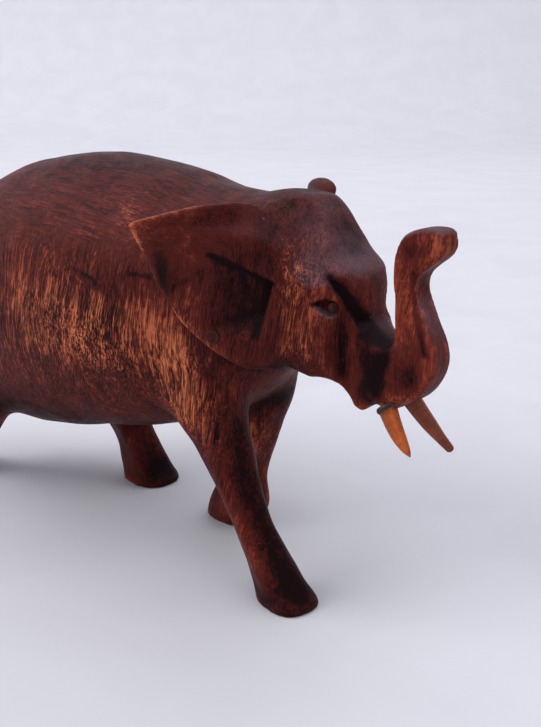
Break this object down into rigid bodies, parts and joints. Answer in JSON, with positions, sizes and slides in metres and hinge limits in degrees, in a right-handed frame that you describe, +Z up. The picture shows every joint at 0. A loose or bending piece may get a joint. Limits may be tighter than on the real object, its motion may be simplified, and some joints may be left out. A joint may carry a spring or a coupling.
{
  "type": "carved elephant figurine",
  "caption": "Walking elephant carved from dark hardwood with a raised trunk, spread ears, flat soles and inset pale wood tusks.",
  "frame": {"origin": "centre of the bounding box, on the floor plane under the soles", "axes": "+X towards the head and trunk, +Y towards the elephant's left side, +Z up"},
  "size_m": [0.172, 0.061, 0.1],
  "materials": {
    "dark_wood": "satin varnish, open pores",
    "amber_wood": "satin varnish",
    "brown_wood": "satin varnish",
    "glue": "glossy, uneven",
    "eye_wood": "satin varnish",
    "plug_wood": "satin varnish"
  },
  "bodies": {
    "root": {"carved_body": "dark_wood", "right_tusk": "amber_wood", "left_tusk": "brown_wood", "right_tusk_glue": "glue", "left_tusk_glue": "glue", "right_eye": "eye_wood", "left_eye": "eye_wood", "ear_plug": "plug_wood"}
  },
  "joints": []
}
